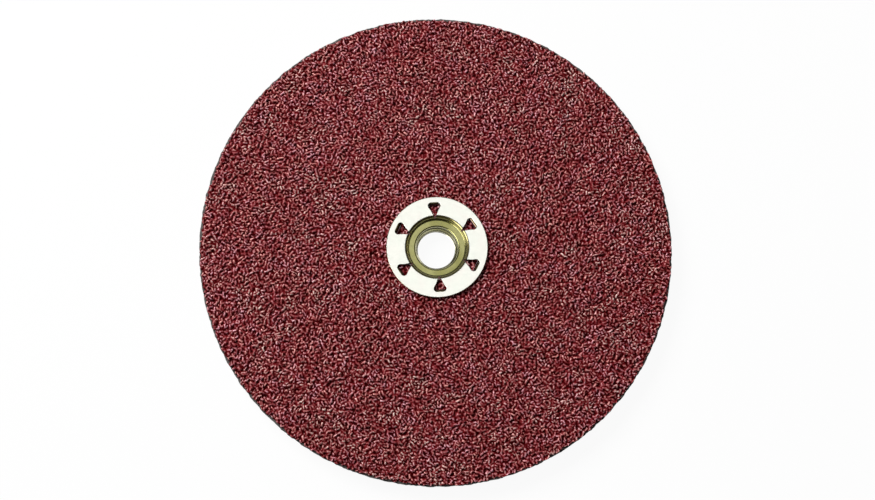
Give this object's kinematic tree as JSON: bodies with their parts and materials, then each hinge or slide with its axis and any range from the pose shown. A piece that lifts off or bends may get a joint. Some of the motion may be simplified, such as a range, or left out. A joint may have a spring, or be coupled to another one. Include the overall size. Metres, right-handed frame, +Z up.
{
  "type": "fibre sanding disc",
  "caption": "Coarse-grain resin fibre sanding disc with a threaded steel hub pressed through its centre and held by prongs turned over behind it.",
  "frame": {"origin": "on the hub's axis, in the plane of the barrel's end, which is the lowest point of the disc as it lies", "axes": "+Z up along the hub's axis and out of the grain side; +X and +Y lie in the disc's plane, +Y towards the picture's top"},
  "size_m": [0.178, 0.178, 0.01],
  "materials": {
    "yellow_zinc_steel": "bright yellow-passivated zinc plate",
    "abrasive_grain": "coarse grain in glossy maroon resin",
    "vulcanised_fibre": "dark calendered vulcanised fibre"
  },
  "bodies": {
    "root": {"threaded_hub": "yellow_zinc_steel", "abrasive_coat": "abrasive_grain", "fibre_backing": "vulcanised_fibre"}
  },
  "joints": []
}
